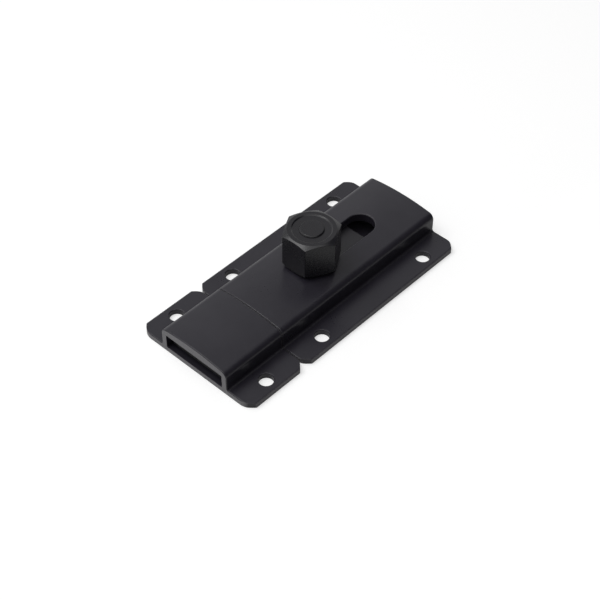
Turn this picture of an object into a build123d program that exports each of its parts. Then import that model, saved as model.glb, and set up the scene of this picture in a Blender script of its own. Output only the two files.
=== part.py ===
from build123d import *
import os

# Flat door bolt: a bar slides in a housing and shoots into a keeper cut from the same extruded section.
# X runs along the bolt from the keeper to the housing, Y across the plates, and Z out of the door.
# The origin lies on the mounting face, under the middle of the two plates. The bolt is modelled shot.
# All sizes are in millimetres and degrees.

# Extruded section: a closed hat with an arched roof, between two flanges
plate_width = 60.0
hat_width = 35.0
hat_edge_radius = 2.8
section_height = 12.5
roof_rise = 1.5
flange_thickness = 2.5
flange_edge_radius = 0.6
flange_root_radius = 0.9
floor_thickness = 2.2
cavity_width = 30.0
cavity_height = 6.5
cavity_corner_radius = 0.4

# Plates that the section is cut into
keeper_length = 29.9
housing_length = 89.9
seam_gap = 0.2
plate_corner_chamfer = 3.2
plate_corner_blend_radius = 6.0
cut_edge_break = 0.3

# Screw holes with a broken rim, one row on each flange
screw_hole_diameter = 6.0
hole_rim_diameter = 6.6
hole_rim_angle = 90.0
hole_side_margin = 5.6
keeper_hole_margin = 14.0
housing_hole_margin = 14.8

# Bolt bar
bar_length = 90.8
bar_thickness = 6.0
bar_side_clearance = 0.3
bar_floor_clearance = 0.15
bar_recess = 2.5
bar_edge_break = 0.4
bar_end_chamfer = 0.8
bolt_travel = 29.7

# Stem, screwed into the bar and pressed into the knob, where its end stands proud of the recess
stem_diameter = 10.0
stem_from_bar_front = 62.65
stem_spigot_diameter = 8.0
stem_spigot_setback = 0.5
stem_proud = 0.6
stem_edge_break = 0.4

# Slot in the roof of the housing, which the stem runs along
slot_side_clearance = 1.0
slot_end_clearance = 0.3
slot_edge_break = 0.3

# Knob, cut from hexagon bar, crowned at both ends, with a recess in its face that has a sloping wall
knob_across_flats = 21.1
knob_corner_radius = 0.4
knob_height = 16.4
knob_lift = 0.7
knob_turn = 30.5
knob_face_diameter = 19.6
knob_foot_diameter = 18.9
knob_crown_angle = 27.0
knob_recess_diameter = 16.4
knob_recess_depth = 0.4
knob_recess_wall = 0.5

# Places that follow from the sizes above
plates_start = -(keeper_length + seam_gap + housing_length) / 2
housing_start = plates_start + keeper_length + seam_gap
housing_end = housing_start + housing_length
cavity_top = floor_thickness + cavity_height
bar_bottom = floor_thickness + bar_floor_clearance
bar_top = bar_bottom + bar_thickness
bar_start = plates_start + bar_recess
stem_x = bar_start + stem_from_bar_front
knob_bottom = section_height + knob_lift
knob_top = knob_bottom + knob_height
recess_floor = knob_top - knob_recess_depth

# Plane through the stem's axis, on which turned profiles are drawn as radius and height
turning_axis = Axis((stem_x, 0, 0), (0, 0, 1))
turning_plane = Plane((stem_x, 0, 0), x_dir=(1, 0, 0), z_dir=(0, -1, 0))

# Section of both plates, with the width along X and the height along Y
with BuildSketch() as section:
    with Locations((0, flange_thickness / 2)):
        Rectangle(plate_width, flange_thickness)
    with BuildLine():
        shoulder_left = (-hat_width / 2, section_height - roof_rise)
        shoulder_right = (hat_width / 2, section_height - roof_rise)
        ThreePointArc(shoulder_left, (0, section_height), shoulder_right)
        Polyline(shoulder_right, (hat_width / 2, 0), (-hat_width / 2, 0), shoulder_left)
    make_face()
    fillet(section.vertices().group_by(Axis.Y)[-1], hat_edge_radius)
    fillet(section.vertices().group_by(Axis.Y)[1].sort_by(Axis.X)[1:-1], flange_root_radius)
    flange_ends = section.vertices().group_by(Axis.Y)[1].sort_by(Axis.X)
    fillet([flange_ends[0], flange_ends[-1]], flange_edge_radius)
    with Locations((0, floor_thickness + cavity_height / 2)):
        RectangleRounded(cavity_width, cavity_height, cavity_corner_radius, mode=Mode.SUBTRACT)


def cut_plate(plate, start, length, hole_places):
    """Cuts a plate from the section, with a screw hole in both flanges at each of the places along X."""
    with BuildSketch(Plane.YZ.offset(start)) as cut_section:
        add(section.sketch)
    extrude(cut_section.sketch, amount=length)

    # Break the cut edges, apart from the one on the mounting face
    cut_ends = plate.faces().filter_by(Axis.X)
    chamfer([edge for end in cut_ends for edge in end.outer_wire().edges().sort_by(Axis.Z)[1:]], cut_edge_break)

    # Clip the four corners of the flanges, and blend each clip into the end of the plate
    with BuildSketch() as outline:
        with Locations((start + length / 2, 0)):
            Rectangle(length, plate_width)
        chamfer(outline.vertices(), plate_corner_chamfer)
        end_vertices = outline.vertices().group_by(Axis.X)
        fillet(end_vertices[0] + end_vertices[-1], plate_corner_blend_radius)
    extrude(outline.sketch, amount=section_height, mode=Mode.INTERSECT)

    row = plate_width / 2 - hole_side_margin
    with Locations([(x, y, flange_thickness) for x in hole_places for y in (-row, row)]):
        CounterSinkHole(screw_hole_diameter / 2, hole_rim_diameter / 2, flange_thickness, hole_rim_angle)


# Keeper
with BuildPart() as keeper:
    cut_plate(keeper, plates_start, keeper_length, [plates_start + keeper_hole_margin])
keeper.part.label = "keeper"

# Housing, with the slot cut through its roof
with BuildPart() as housing:
    cut_plate(
        housing,
        housing_start,
        housing_length,
        [housing_start + housing_hole_margin, housing_end - housing_hole_margin],
    )
    with BuildSketch(Plane.XY.offset(section_height)):
        with Locations((stem_x + bolt_travel / 2, 0)):
            SlotOverall(
                bolt_travel + stem_diameter + 2 * slot_end_clearance,
                stem_diameter + 2 * slot_side_clearance,
            )
    extrude(amount=cavity_top - section_height, mode=Mode.SUBTRACT)
    roof = housing.faces().sort_by(Axis.Z)[-1]
    chamfer(roof.inner_wires()[0].edges(), slot_edge_break)
housing.part.label = "housing"

# Bolt bar, with the hole that the stem is screwed into
with BuildPart() as bolt_bar:
    with BuildSketch(Plane.XY.offset(bar_bottom)):
        with Locations((bar_start + bar_length / 2, 0)):
            Rectangle(bar_length, cavity_width - 2 * bar_side_clearance)
    extrude(amount=bar_thickness)
    chamfer([edge for end in bolt_bar.faces().filter_by(Axis.X) for edge in end.edges()], bar_end_chamfer)
    chamfer(bolt_bar.edges().filter_by(Axis.X), bar_edge_break)
    with Locations((stem_x, 0, bar_top)):
        Hole(stem_spigot_diameter / 2, bar_thickness)
bolt_bar.part.label = "bolt_bar"

# Stem, turned with a spigot that fills the hole in the bar
with BuildPart() as stem:
    with BuildSketch(turning_plane):
        with BuildLine():
            Polyline(
                (0, bar_bottom + stem_spigot_setback),
                (stem_spigot_diameter / 2 - stem_edge_break, bar_bottom + stem_spigot_setback),
                (stem_spigot_diameter / 2, bar_bottom + stem_spigot_setback + stem_edge_break),
                (stem_spigot_diameter / 2, bar_top),
                (stem_diameter / 2, bar_top),
                (stem_diameter / 2, recess_floor + stem_proud - stem_edge_break),
                (stem_diameter / 2 - stem_edge_break, recess_floor + stem_proud),
                (0, recess_floor + stem_proud),
                close=True,
            )
        make_face()
    revolve(axis=turning_axis)
stem.part.label = "stem"

# Knob: a hexagon whose corners are turned off in a cone at the face and at the foot, with a shallow recess
with BuildPart() as knob:
    with BuildSketch(Plane.XY.offset(knob_bottom)) as hexagon:
        with Locations((stem_x, 0)):
            RegularPolygon(knob_across_flats / 2, 6, major_radius=False, rotation=knob_turn)
        fillet(hexagon.vertices(), knob_corner_radius)
    extrude(amount=knob_height)
    with BuildSketch(turning_plane):
        with BuildLine():
            foot = (knob_foot_diameter / 2, knob_bottom)
            face = (knob_face_diameter / 2, knob_top)
            foot_crown = PolarLine(foot, knob_height, knob_crown_angle)
            face_crown = PolarLine(face, knob_height, -knob_crown_angle)
            Polyline(foot_crown @ 1, face_crown @ 1)
            Polyline(
                foot,
                (0, knob_bottom),
                (0, recess_floor),
                (knob_recess_diameter / 2 - knob_recess_wall, recess_floor),
                (knob_recess_diameter / 2, knob_top),
                face,
            )
        make_face()
    revolve(axis=turning_axis, mode=Mode.INTERSECT)
    with Locations((stem_x, 0, knob_top)):
        Hole(stem_diameter / 2, knob_height)
knob.part.label = "knob"

os.makedirs("parts", exist_ok=True)
export_step(keeper.part, "parts/keeper.step")
export_step(housing.part, "parts/housing.step")
export_step(bolt_bar.part, "parts/bolt_bar.step")
export_step(stem.part, "parts/stem.step")
export_step(knob.part, "parts/knob.step")
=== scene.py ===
"""Studio picture of a flat door bolt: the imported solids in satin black, floor, light and camera.

Lengths are in metres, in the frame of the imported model: X along the bolt from the keeper to the
housing, Y across the plates and Z out of the door, with the origin on the mounting face. Colours
are linear.
"""

import logging
from dataclasses import dataclass, field
from enum import Enum

import bpy
import numpy as np
from mathutils import Matrix, Vector


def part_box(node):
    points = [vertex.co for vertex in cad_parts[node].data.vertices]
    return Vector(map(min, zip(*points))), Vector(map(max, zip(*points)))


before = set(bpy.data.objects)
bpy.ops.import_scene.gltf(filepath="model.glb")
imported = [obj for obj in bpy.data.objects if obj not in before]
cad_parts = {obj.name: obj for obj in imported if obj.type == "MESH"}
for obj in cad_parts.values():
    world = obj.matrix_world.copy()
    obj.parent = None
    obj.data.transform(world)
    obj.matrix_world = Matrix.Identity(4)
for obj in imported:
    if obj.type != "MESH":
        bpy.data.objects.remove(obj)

log = logging.getLogger("door_bolt")

Span = tuple[float, float]
Triple = tuple[float, float, float]
Socket = bpy.types.NodeSocket

WHITE: Triple = (1.0, 1.0, 1.0)
WHOLE: Span = (0.0, 1.0)
NOISE_SPAN: Span = (0.3, 0.7)  # nearly all values of a noise lie in it


class Grain(Enum):
    """Ways in which a surface was made, each with the scale of its finest marks along three axes.

    Drawn marks run along X. Turned marks run round the stem's axis: there the first number is for
    the radius, and the last one for the height.
    """

    DRAWN = (0.02, 1.0, 1.0)
    TURNED = (1.0, 1.0, 0.15)


@dataclass(frozen=True)
class Noise:
    """Measures of a noise.

    Attributes:
        size: Size of a blotch.
        detail: Number of finer octaves.
        roughness: Share of the finer octaves.
    """

    size: float
    detail: float = 3.0
    roughness: float = 0.55


class Wiring:
    """A node tree, with short calls to add and join nodes."""

    def __init__(self, tree: bpy.types.NodeTree) -> None:
        """Takes a tree over and empties it.

        Args:
            tree: The node tree of a material or of the world.
        """
        self.tree = tree
        self.tree.nodes.clear()

    def node(self, kind: str, **settings: object) -> bpy.types.Node:
        """Adds a node.

        Args:
            kind: The node's type, without the word ShaderNode.
            settings: Attributes to set on the node.

        Returns:
            The new node.
        """
        made = self.tree.nodes.new("ShaderNode" + kind)
        for key, value in settings.items():
            setattr(made, key, value)
        return made

    def join(self, source: Socket, target: Socket) -> None:
        """Links two sockets."""
        self.tree.links.new(source, target)

    def feed(self, target: Socket, value: Socket | float | Triple) -> None:
        """Gives a socket a value, or links it where the value is a socket.

        Args:
            target: The socket to feed.
            value: A number, a vector, a colour or another node's socket.
        """
        if isinstance(value, bpy.types.NodeSocket):
            self.join(value, target)
        elif isinstance(target, bpy.types.NodeSocketColor):
            target.default_value = (*value, 1.0)
        else:
            target.default_value = value

    def split(self, vector: Socket) -> tuple[Socket, Socket, Socket]:
        """Takes a vector apart.

        Args:
            vector: The vector's socket.

        Returns:
            The sockets of its X, Y and Z.
        """
        made = self.node("SeparateXYZ")
        self.join(vector, made.inputs["Vector"])
        return made.outputs["X"], made.outputs["Y"], made.outputs["Z"]

    def math(self, operation: str, *terms: Socket | float) -> Socket:
        """Adds a Math node.

        Args:
            operation: Blender's name of the operation.
            terms: One to three numbers or sockets.

        Returns:
            The socket that holds the result.
        """
        made = self.node("Math", operation=operation)
        for socket, term in zip(made.inputs, terms):
            self.feed(socket, term)
        return made.outputs["Value"]

    def remap(self, value: Socket, span: Span, onto: Span = WHOLE, smooth: bool = True) -> Socket:
        """Maps one span of values onto another and stops at its ends.

        Args:
            value: The socket to map.
            span: The values that become the two of onto.
            onto: The results for the two values of span.
            smooth: Whether the result eases in and out.

        Returns:
            The socket that holds the result.
        """
        made = self.node("MapRange", interpolation_type="SMOOTHSTEP" if smooth else "LINEAR")
        self.join(value, made.inputs["Value"])
        for name, number in zip(("From Min", "From Max", "To Min", "To Max"), (*span, *onto)):
            made.inputs[name].default_value = number
        return made.outputs["Result"]

    def mix(self, share: Socket, first: Socket | Triple, second: Socket | Triple) -> Socket:
        """Mixes two colours.

        Args:
            share: Share of the second colour.
            first: A colour, or the socket of one.
            second: Another colour, or the socket of one.

        Returns:
            The socket of the mixed colour.
        """
        made = self.node("Mix", data_type="RGBA")
        for name, value in (("Factor", share), ("A", first), ("B", second)):
            self.feed(made.inputs[name], value)
        return made.outputs["Result"]

    def noise(self, place: Socket, measures: Noise) -> Socket:
        """Adds a noise.

        Args:
            place: Coordinates in metres.
            measures: The noise's measures.

        Returns:
            The noise's value, from 0 to 1.
        """
        made = self.node("TexNoise")
        self.join(place, made.inputs["Vector"])
        made.inputs["Scale"].default_value = 1 / measures.size
        made.inputs["Detail"].default_value = measures.detail
        made.inputs["Roughness"].default_value = measures.roughness
        return made.outputs["Fac"]

    def scaled(self, place: Socket, scale: Triple) -> Socket:
        """Scales coordinates.

        Args:
            place: The coordinates.
            scale: The factor along each axis.

        Returns:
            The socket of the scaled coordinates.
        """
        made = self.node("Mapping")
        made.inputs["Scale"].default_value = scale
        self.join(place, made.inputs["Vector"])
        return made.outputs["Vector"]


def new_material(name: str) -> tuple[bpy.types.Material, Wiring]:
    """Makes an empty material.

    Args:
        name: The material's name.

    Returns:
        The material, and the wiring of its nodes.
    """
    material = bpy.data.materials.new(name)
    material.use_nodes = True
    return material, Wiring(material.node_tree)


@dataclass(frozen=True)
class SatinBlack:
    """Satin black coat on a metal piece, with a painted highlight along its edges.

    Attributes:
        name: Name of the material.
        grain: Way in which the piece was made.
        deep: Darker colour of the coat.
        pale: Lighter colour of the coat.
        edge_highlight: Colour of the painted highlight on the edges.
        gloss: Least and greatest roughness.
        axis_x: Place of the turning axis along X, for a turned piece.
        ior: Index of refraction of the coat.
        clouds: Broad changes of colour and sheen.
        speckle: Fine texture of the coat.
        marks: Finest marks of the tool or the die.
        mark_height: Height of the marks.
        speckle_height: Height of the speckle, as a share of the marks' height.
        cloud_share: Share of the clouds in the sheen, where the rest is speckle.
        edge_reach: Distance from an edge that the painted highlight reaches.
        edge_samples: Number of samples that find the edges.
        edge_turn: Cosines of the turn at which the painted highlight begins and is full.
        patch_span: Values of the speckle where an edge's painted highlight is least and most.
        patch_least: Share of the painted highlight where it is least.
    """

    name: str
    grain: Grain
    deep: Triple
    pale: Triple
    edge_highlight: Triple
    gloss: Span
    axis_x: float = 0.0
    ior: float = 1.5
    clouds: Noise = Noise(0.018)
    speckle: Noise = Noise(0.0008, 2.0, 0.6)
    marks: Noise = Noise(0.0004, 2.0)
    mark_height: float = 0.0000005
    speckle_height: float = 0.5
    cloud_share: float = 0.7
    edge_reach: float = 0.00025
    edge_samples: int = 12
    edge_turn: Span = (0.995, 0.86)
    patch_span: Span = (0.35, 0.65)
    patch_least: float = 0.35

    def fine_marks(self, wiring: Wiring, place: Socket) -> Socket:
        """Finest marks, which follow the way in which the piece was made.

        They are noise over scaled coordinates. On a turned piece these are the distance from the
        turning axis, as the root of the sum of two squares, and the height.

        Args:
            wiring: The material's nodes.
            place: Object coordinates.

        Returns:
            The marks, from 0 to 1.
        """
        if self.grain is Grain.TURNED:
            x, y, z = wiring.split(place)
            across = wiring.math("POWER", wiring.math("SUBTRACT", x, self.axis_x), 2.0)
            radius = wiring.math("SQRT", wiring.math("ADD", across, wiring.math("POWER", y, 2.0)))
            rings = wiring.node("CombineXYZ")
            wiring.join(radius, rings.inputs["X"])
            wiring.join(z, rings.inputs["Z"])
            place = rings.outputs["Vector"]
        return wiring.noise(wiring.scaled(place, self.grain.value), self.marks)

    def edge_highlight_share(self, wiring: Wiring, speckle: Socket, rounded: Socket) -> Socket:
        """Share of the painted edge highlight: none on a flat, and patches on an edge.

        An edge is where the rounded normal turns away from the plain one.

        Args:
            wiring: The material's nodes.
            speckle: Fine texture of the coat.
            rounded: Normal of the surface with its edges rounded.

        Returns:
            The share, from 0 to 1.
        """
        turn = wiring.node("VectorMath", operation="DOT_PRODUCT")
        wiring.join(rounded, turn.inputs[0])
        wiring.join(wiring.node("NewGeometry").outputs["Normal"], turn.inputs[1])
        # Painted highlight: edges get a lighter colour where the rounded normal turns away from the
        # plain one.
        edges = wiring.remap(turn.outputs["Value"], self.edge_turn)
        patches = wiring.remap(speckle, self.patch_span, (self.patch_least, 1.0))
        return wiring.math("MULTIPLY", edges, patches)

    def coat(self, wiring: Wiring, clouds: Socket, speckle: Socket, rounded: Socket) -> Socket:
        """Colour of the coat: clouds, with the painted highlight on the edges over them.

        Args:
            wiring: The material's nodes.
            clouds: Broad changes of colour.
            speckle: Fine texture of the coat.
            rounded: Normal of the surface with its edges rounded.

        Returns:
            The colour.
        """
        tint = wiring.mix(wiring.remap(clouds, NOISE_SPAN), self.deep, self.pale)
        # Painted highlight on the edges, mixed over the coat's own colour.
        return wiring.mix(self.edge_highlight_share(wiring, speckle, rounded), tint, self.edge_highlight)

    def relief(self, wiring: Wiring, place: Socket, speckle: Socket, rounded: Socket) -> Socket:
        """Normal of the surface, with marks and speckle on its rounded edges.

        Args:
            wiring: The material's nodes.
            place: Object coordinates.
            speckle: Fine texture of the coat.
            rounded: Normal of the surface with its edges rounded.

        Returns:
            The normal.
        """
        bump = wiring.node("Bump")
        bump.inputs["Strength"].default_value = 1.0
        bump.inputs["Distance"].default_value = self.mark_height
        grains = wiring.math("MULTIPLY", speckle, self.speckle_height)
        height = wiring.math("ADD", self.fine_marks(wiring, place), grains)
        wiring.join(height, bump.inputs["Height"])
        wiring.join(rounded, bump.inputs["Normal"])
        return bump.outputs["Normal"]

    def make(self) -> bpy.types.Material:
        """Builds the material.

        Returns:
            The finished material.
        """
        material, wiring = new_material(self.name)
        place = wiring.node("TexCoord").outputs["Object"]
        clouds = wiring.noise(place, self.clouds)
        speckle = wiring.noise(place, self.speckle)
        rounding = wiring.node("Bevel", samples=self.edge_samples)
        rounding.inputs["Radius"].default_value = self.edge_reach
        rounded = rounding.outputs["Normal"]
        sheen = wiring.math("ADD", wiring.math("MULTIPLY", clouds, self.cloud_share),
                            wiring.math("MULTIPLY", speckle, 1.0 - self.cloud_share))

        shader = wiring.node("BsdfPrincipled")
        shader.inputs["IOR"].default_value = self.ior
        wiring.join(self.coat(wiring, clouds, speckle, rounded), shader.inputs["Base Color"])
        wiring.join(wiring.remap(sheen, NOISE_SPAN, self.gloss), shader.inputs["Roughness"])
        wiring.join(self.relief(wiring, place, speckle, rounded), shader.inputs["Normal"])
        output = wiring.node("OutputMaterial")
        wiring.join(shader.outputs["BSDF"], output.inputs["Surface"])
        return material

    def put_on(self, node: str) -> None:
        """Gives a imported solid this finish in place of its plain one.

        Args:
            node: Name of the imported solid.
        """
        material = self.make()
        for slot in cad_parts[node].material_slots:
            slot.material = material
        log.info("%s wears %s", node, self.name)


@dataclass(frozen=True, kw_only=True)
class SawnSatinBlack(SatinBlack):
    """Satin black coat on a plate, painted paler on its sawn ends and its outer edges, where the
    paler colour stands for a reflection of the floor.

    Attributes:
        ends: Places of the sawn ends along X.
        edge_from: Distance from the XZ plane at which the outer edges begin.
        sawn: Colour of the painted reflection of the floor on the sawn ends and the outer edges.
        sawn_least: Share of that colour where the speckle leaves least of it.
        end_depth: Depth of an end, measured along X.
        end_facing: X of the normal, either way, at which a face begins to be an end and is one.
        edge_reflection_share: Share of that painted reflection on the outer edges.
        edge_fade: Width over which the outer edges begin.
    """

    ends: Span
    edge_from: float
    sawn: Triple = (0.165, 0.160, 0.170)
    sawn_least: float = 0.8
    end_depth: float = 0.001
    end_facing: Span = (0.80, 0.99)
    edge_reflection_share: float = 0.5
    edge_fade: float = 0.0003

    def reflection_share(self, wiring: Wiring) -> Socket:
        """Share of the painted reflection: all of it on the ends, and some on the outer edges.

        An end lies further from the plate's middle than half its length less the end's depth, and
        faces along X.

        Args:
            wiring: The material's nodes.

        Returns:
            The share, from 0 to 1.
        """
        coordinates = wiring.node("TexCoord")
        normal_x, _, _ = wiring.split(coordinates.outputs["Normal"])
        x, y, _ = wiring.split(coordinates.outputs["Object"])
        first, last = self.ends
        from_middle = wiring.math("ABSOLUTE", wiring.math("SUBTRACT", x, (first + last) / 2))
        outermost = wiring.math("GREATER_THAN", from_middle, (last - first) / 2 - self.end_depth)
        facing = wiring.remap(wiring.math("ABSOLUTE", normal_x), self.end_facing)
        edge_span = (self.edge_from, self.edge_from + self.edge_fade)
        # Painted reflection of the floor on the flanges' outer side faces.
        outer_edge_reflection = wiring.remap(wiring.math("ABSOLUTE", y), edge_span, (0.0, self.edge_reflection_share))
        return wiring.math("MAXIMUM", wiring.math("MULTIPLY", outermost, facing), outer_edge_reflection)

    def coat(self, wiring: Wiring, clouds: Socket, speckle: Socket, rounded: Socket) -> Socket:
        """Colour of the coat, with the painted reflection on the sawn ends and the outer edges over
        it.

        Args:
            wiring: The material's nodes.
            clouds: Broad changes of colour.
            speckle: Fine texture of the coat.
            rounded: Normal of the surface with its edges rounded.

        Returns:
            The colour.
        """
        coat = super().coat(wiring, clouds, speckle, rounded)
        patches = wiring.remap(speckle, NOISE_SPAN, (self.sawn_least, 1.0))
        # Painted reflection of the floor, mixed over the coat on the ends and the outer edges.
        return wiring.mix(wiring.math("MULTIPLY", self.reflection_share(wiring), patches), coat, self.sawn)


@dataclass
class Plates:
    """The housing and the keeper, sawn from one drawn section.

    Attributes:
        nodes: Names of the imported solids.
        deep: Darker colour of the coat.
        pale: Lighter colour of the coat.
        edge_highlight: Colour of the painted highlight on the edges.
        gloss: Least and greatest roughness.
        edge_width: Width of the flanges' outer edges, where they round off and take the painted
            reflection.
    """

    nodes: tuple[str, ...] = ("housing", "keeper")
    deep: Triple = (0.0172, 0.0156, 0.0224)
    pale: Triple = (0.0210, 0.0192, 0.0266)
    edge_highlight: Triple = (0.095, 0.091, 0.100)
    gloss: Span = (0.27, 0.33)
    edge_width: float = 0.0004

    def dress(self) -> None:
        """Puts the drawn and sawn finish on both plates."""
        for node in self.nodes:
            low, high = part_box(node)
            finish = SawnSatinBlack(
                f"{node}_satin", Grain.DRAWN, self.deep, self.pale, self.edge_highlight, self.gloss,
                ends=(low.x, high.x), edge_from=high.y - self.edge_width,
            )
            finish.put_on(node)


@dataclass
class Bolt:
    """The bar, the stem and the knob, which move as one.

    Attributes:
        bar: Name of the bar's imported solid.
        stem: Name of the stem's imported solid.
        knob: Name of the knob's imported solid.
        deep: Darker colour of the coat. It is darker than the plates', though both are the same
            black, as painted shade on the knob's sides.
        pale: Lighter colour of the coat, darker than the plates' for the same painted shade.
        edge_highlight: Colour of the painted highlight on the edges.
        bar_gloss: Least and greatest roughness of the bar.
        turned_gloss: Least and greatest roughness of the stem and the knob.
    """

    bar: str = "bolt_bar"
    stem: str = "stem"
    knob: str = "knob"
    # Painted shade: the bolt's black is set darker than the plates' same black, so that the knob's
    # sides come out shaded.
    deep: Triple = (0.0088, 0.0082, 0.0112)
    pale: Triple = (0.0110, 0.0103, 0.0138)
    edge_highlight: Triple = (0.032, 0.031, 0.034)
    bar_gloss: Span = (0.32, 0.40)
    turned_gloss: Span = (0.26, 0.34)

    def dress(self) -> None:
        """Puts a drawn finish on the bar, and turned ones on the stem and the knob."""
        colours = (self.deep, self.pale, self.edge_highlight)
        SatinBlack("bar_satin", Grain.DRAWN, *colours, self.bar_gloss).put_on(self.bar)
        low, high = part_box(self.stem)
        for node in (self.stem, self.knob):
            finish = SatinBlack(f"{node}_satin", Grain.TURNED, *colours, self.turned_gloss,
                                axis_x=(low.x + high.x) / 2)
            finish.put_on(node)


@dataclass
class Floor:
    """A matt round sheet that looks white to the camera and keeps the shadows.

    Far out on the camera's side it is dark, because the bolt's near walls mirror that part.

    Attributes:
        reach: Radius of the sheet.
        rings: Number of rings of points.
        steps: Number of points on a ring.
        drop: Distance below the mounting face.
        pale: Colour near the bolt and behind it.
        dark: Colour far out on the camera's side.
        change: Places along Y where it is wholly dark and wholly pale.
        pale_glow: Glow towards the camera where it is pale.
        dark_glow: Glow towards the camera where it is dark.
        sheen: Glow in mirrors and through glass where it is pale.
    """

    reach: float = 3.0
    rings: int = 48
    steps: int = 96
    drop: float = 0.00005
    pale: Triple = (0.60, 0.60, 0.60)
    dark: Triple = (0.05, 0.05, 0.05)
    change: Span = (-0.13, -0.033)
    pale_glow: float = 0.52
    dark_glow: float = 1.05
    sheen: float = 0.05

    def mesh(self) -> bpy.types.Mesh:
        """Works the sheet out as rings of points.

        The radius of ring i of n is the reach times the square of i / n, so the rings lie closer
        together under the bolt. A fan of triangles about a middle point closes the first ring.

        Returns:
            The sheet's mesh.
        """
        radii = np.linspace(0, 1, self.rings + 1)[1:] ** 2 * self.reach
        angles = np.linspace(0, 2 * np.pi, self.steps, endpoint=False)
        radius, angle = np.meshgrid(radii, angles, indexing="ij")
        height = np.full_like(radius, -self.drop)
        points = np.stack([radius * np.cos(angle), radius * np.sin(angle), height], -1)
        points = np.vstack([points.reshape(-1, 3), [[0, 0, -self.drop]]])
        middle = len(points) - 1

        here = np.arange(middle).reshape(self.rings, self.steps)
        after = np.roll(here, -1, axis=1)
        quads = np.stack([here[:-1], here[1:], after[1:], after[:-1]], -1).reshape(-1, 4)
        fan = np.stack([np.full(self.steps, middle), here[0], after[0]], -1)
        mesh = bpy.data.meshes.new("floor")
        mesh.from_pydata(points.tolist(), [], quads.tolist() + fan.tolist())
        return mesh

    def material(self) -> bpy.types.Material:
        """Builds the matt material with its glow.

        Returns:
            The finished material.
        """
        material, wiring = new_material("floor_white")
        _, y, _ = wiring.split(wiring.node("TexCoord").outputs["Object"])
        paleness = wiring.remap(y, self.change)
        matt = wiring.node("BsdfDiffuse")
        wiring.join(wiring.mix(paleness, self.dark, self.pale), matt.inputs["Color"])

        rays = wiring.node("LightPath")
        to_camera = wiring.remap(paleness, WHOLE, (self.dark_glow, self.pale_glow), smooth=False)
        seen = wiring.math("MULTIPLY", rays.outputs["Is Camera Ray"], to_camera)
        mirrored = wiring.math("MAXIMUM", rays.outputs["Is Glossy Ray"],
                               rays.outputs["Is Transmission Ray"])
        shown = wiring.math("MULTIPLY", wiring.math("MULTIPLY", mirrored, paleness), self.sheen)
        glow = wiring.node("Emission")
        wiring.join(wiring.math("ADD", seen, shown), glow.inputs["Strength"])

        both = wiring.node("AddShader")
        wiring.join(matt.outputs["BSDF"], both.inputs[0])
        wiring.join(glow.outputs["Emission"], both.inputs[1])
        output = wiring.node("OutputMaterial")
        wiring.join(both.outputs["Shader"], output.inputs["Surface"])
        return material

    def build(self) -> None:
        """Lays the sheet under the bolt."""
        floor = bpy.data.objects.new("floor", self.mesh())
        bpy.context.scene.collection.objects.link(floor)
        floor.data.materials.append(self.material())
        log.info("floor: a sheet of %.1f m radius", self.reach)


@dataclass
class Sky:
    """The surroundings: bright behind the bolt, dark on the camera's side, and white to the camera.

    Attributes:
        low: Strength at the horizon.
        high: Strength overhead.
        dark: Share of the strength that is left on the camera's side.
        change: Y of the direction at which they are wholly dark and wholly bright.
    """

    low: float = 0.85
    high: float = 0.38
    dark: float = 0.05
    change: Span = (-0.22, 0.18)

    def build(self) -> None:
        """Makes the world: strength by height times strength by side, and white to camera rays."""
        world = bpy.data.worlds.new("studio")
        bpy.context.scene.world = world
        world.use_nodes = True
        wiring = Wiring(world.node_tree)
        _, y, z = wiring.split(wiring.node("TexCoord").outputs["Generated"])
        level = wiring.remap(z, WHOLE, (self.low, self.high))
        side = wiring.remap(y, self.change, (self.dark, 1.0))

        light = wiring.node("Background")
        wiring.feed(light.inputs["Color"], WHITE)
        wiring.join(wiring.math("MULTIPLY", level, side), light.inputs["Strength"])
        white = wiring.node("Background")
        wiring.feed(white.inputs["Color"], WHITE)
        pick = wiring.node("MixShader")
        wiring.join(wiring.node("LightPath").outputs["Is Camera Ray"], pick.inputs["Fac"])
        wiring.join(light.outputs["Background"], pick.inputs[1])
        wiring.join(white.outputs["Background"], pick.inputs[2])
        output = wiring.node("OutputWorld")
        wiring.join(pick.outputs["Shader"], output.inputs["Surface"])
        log.info("sky: %.2f at the horizon, %.2f overhead", self.low, self.high)


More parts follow.
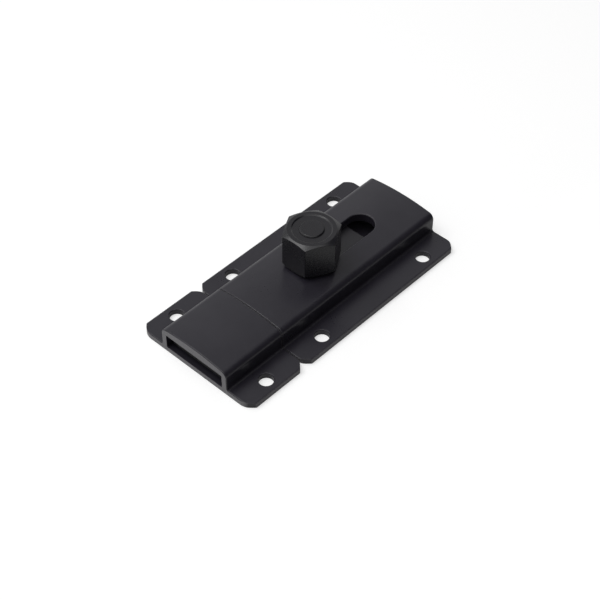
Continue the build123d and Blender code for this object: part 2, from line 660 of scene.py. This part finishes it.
@dataclass(frozen=True)
class Softbox:
    """A soft rectangular lamp.

    Attributes:
        name: The lamp's name.
        place: Place of its middle.
        size: Width and height.
        watts: Power.
        aim: Point that it faces.
    """

    name: str
    place: Triple
    size: Span
    watts: float
    aim: Triple = (0.0, 0.0, 0.0)

    def hang(self) -> None:
        """Puts the lamp in the scene."""
        data = bpy.data.lights.new(self.name, "AREA")
        data.shape = "RECTANGLE"
        data.size, data.size_y = self.size
        data.energy = self.watts
        lamp = bpy.data.objects.new(self.name, data)
        lamp.location = self.place
        away = Vector(self.place) - Vector(self.aim)
        lamp.rotation_euler = away.to_track_quat("Z", "Y").to_euler()
        bpy.context.scene.collection.objects.link(lamp)
        log.info("%s: %.1f W", self.name, self.watts)


@dataclass
class Studio:
    """The floor, the surroundings and the lamps.

    Attributes:
        floor: The floor.
        sky: The surroundings.
        lamps: The lamps, one high behind the bolt and one above the camera's side.
    """

    floor: Floor = field(default_factory=Floor)
    sky: Sky = field(default_factory=Sky)
    lamps: tuple[Softbox, ...] = (
        Softbox("lamp_key", (-0.28, 0.40, 0.88), (0.70, 0.60), 4.2),
        Softbox("lamp_fill", (-0.20, -0.24, 0.95), (1.00, 1.00), 3.5),
    )

    def build(self) -> None:
        """Makes the floor, the surroundings and the lamps."""
        self.floor.build()
        self.sky.build()
        for lamp in self.lamps:
            lamp.hang()
        bpy.context.scene.view_settings.view_transform = "Standard"


@dataclass
class Camera:
    """The camera at the photograph's viewing angle.

    Attributes:
        place: Place of the camera.
        aim: Point in the middle of its view.
        lens: Focal length, in millimetres.
        sensor: Width of the sensor, in millimetres.
        clip: Least and greatest distance that it sees.
    """

    place: Triple = (-0.30480, -0.28554, 0.42261)
    aim: Triple = (-0.00944, -0.00741, 0.006)
    lens: float = 89.10
    sensor: float = 36.0
    clip: Span = (0.01, 20.0)

    def build(self) -> None:
        """Makes the camera the scene's own, level from left to right."""
        data = bpy.data.cameras.new("camera")
        data.lens = self.lens
        data.sensor_width = self.sensor
        data.clip_start, data.clip_end = self.clip
        camera = bpy.data.objects.new("camera", data)
        ahead = (Vector(self.aim) - Vector(self.place)).normalized()
        right = ahead.cross(Vector((0, 0, 1))).normalized()
        up = right.cross(ahead)
        turned = Matrix((right, up, -ahead)).transposed().to_4x4()
        camera.matrix_world = Matrix.Translation(self.place) @ turned
        bpy.context.scene.collection.objects.link(camera)
        bpy.context.scene.camera = camera
        log.info("camera: %.1f mm lens", self.lens)


def main() -> None:
    """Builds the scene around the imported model."""
    logging.basicConfig(level=logging.INFO, format="%(name)s: %(message)s")
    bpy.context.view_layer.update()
    Camera().build()
    Plates().dress()
    Bolt().dress()
    Studio().build()


if __name__ == "__main__":
    main()
